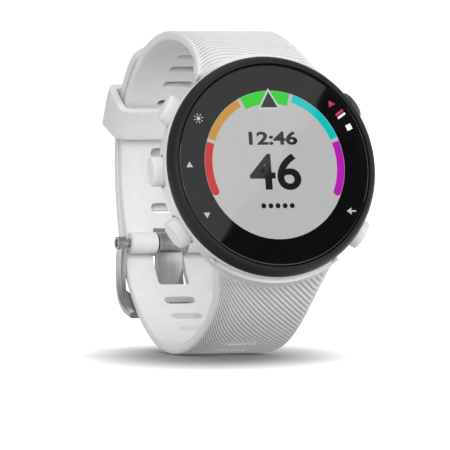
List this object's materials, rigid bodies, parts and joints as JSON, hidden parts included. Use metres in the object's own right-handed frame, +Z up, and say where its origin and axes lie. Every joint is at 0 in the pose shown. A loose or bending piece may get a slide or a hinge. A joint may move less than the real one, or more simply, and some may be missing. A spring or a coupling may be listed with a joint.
{
  "type": "gps running watch",
  "caption": "Small round running watch with a black bezel, side buttons, colour display and a buckled, slotted white silicone strap.",
  "frame": {"origin": "middle of the optical sensor window's flat face on the back of the case, where the wrist bears", "axes": "+X from 9 to 3 o'clock across the case, +Y horizontally from the glass into the strap's loop, +Z up; the case leans back 11.1 degrees from +Z as it stands on its buckled strap"},
  "size_m": [0.0411, 0.062, 0.0578],
  "materials": {
    "black_polymer": "satin black fibre-filled polymer",
    "cover_glass": "clear flat glass with a black printed border",
    "white_polymer": "satin white polymer",
    "grey_polymer": "moulded grey polymer",
    "white_silicone": "matte white silicone",
    "brushed_steel": "dark brushed stainless steel",
    "gold_contact": "gold plated",
    "black_rubber": "black seal rubber",
    "circuit_board": "green solder mask",
    "battery_foil": "foil pouch",
    "sensor_window": "polished dark sensor window",
    "display_panel": "transflective display panel"
  },
  "bodies": {
    "case": {"antenna_ring": "gold_contact", "back_cover": "white_polymer", "back_gasket": "black_rubber", "back_screw_1": "brushed_steel", "back_screw_2": "brushed_steel", "back_screw_3": "brushed_steel", "back_screw_4": "brushed_steel", "battery": "battery_foil", "bezel_ring": "black_polymer", "buckle_pin": "brushed_steel", "button_switch_back": "grey_polymer", "button_switch_down": "grey_polymer", "button_switch_light": "grey_polymer", "button_switch_start": "grey_polymer", "button_switch_up": "grey_polymer", "charging_contact_1": "gold_contact", "charging_contact_2": "gold_contact", "charging_contact_3": "gold_contact", "charging_contact_4": "gold_contact", "cover_glass": "cover_glass", "display_holder": "grey_polymer", "display_module": "display_panel", "glass_gasket": "black_rubber", "main_board": "circuit_board", "middle_case": "white_polymer", "sensor_board": "circuit_board", "sensor_window": "sensor_window", "spring_bar_lower": "brushed_steel", "spring_bar_upper": "brushed_steel", "strap_lower": "white_silicone", "strap_upper": "white_silicone", "vibration_motor": "battery_foil"},
    "button_light": {"button_light": "white_polymer", "stem_clip_light": "brushed_steel"},
    "button_up": {"button_up": "white_polymer", "stem_clip_up": "brushed_steel"},
    "button_down": {"button_down": "white_polymer", "stem_clip_down": "brushed_steel"},
    "button_start": {"button_start": "black_polymer", "stem_clip_start": "brushed_steel"},
    "button_back": {"button_back": "white_polymer", "stem_clip_back": "brushed_steel"},
    "buckle_frame": {"buckle_frame": "brushed_steel"},
    "buckle_tongue": {"buckle_tongue": "brushed_steel"},
    "keeper": {"strap_keeper": "white_silicone"}
  },
  "joints": [
    {"name": "light_press", "type": "slide", "parent": "case", "child": "button_light", "axis": [0.8387, -0.1049, -0.5344], "range_m": [0, 0.0006], "stiffness_N_per_m": 300},
    {"name": "up_press", "type": "slide", "parent": "case", "child": "button_up", "axis": [1, 0, 0], "range_m": [0, 0.0006], "stiffness_N_per_m": 300},
    {"name": "down_press", "type": "slide", "parent": "case", "child": "button_down", "axis": [0.8387, 0.1049, 0.5344], "range_m": [0, 0.0006], "stiffness_N_per_m": 300},
    {"name": "start_press", "type": "slide", "parent": "case", "child": "button_start", "axis": [-0.8387, -0.1049, -0.5344], "range_m": [0, 0.0006], "stiffness_N_per_m": 300},
    {"name": "back_press", "type": "slide", "parent": "case", "child": "button_back", "axis": [-0.8387, 0.1049, 0.5344], "range_m": [0, 0.0006], "stiffness_N_per_m": 300},
    {"name": "buckle_swing", "type": "hinge", "parent": "case", "child": "buckle_frame", "pos_m": [0, 0.03865, -0.01263], "axis": [1, 0, 0], "range_deg": [0, 6]},
    {"name": "tongue_swing", "type": "hinge", "parent": "buckle_frame", "child": "buckle_tongue", "pos_m": [0, 0.03865, -0.01263], "axis": [1, 0, 0], "range_deg": [0, 6]},
    {"name": "keeper_slide", "type": "hinge", "parent": "case", "child": "keeper", "pos_m": [0, 0.0155, -0.00304], "axis": [1, 0, 0], "range_deg": [-6, 6]}
  ]
}
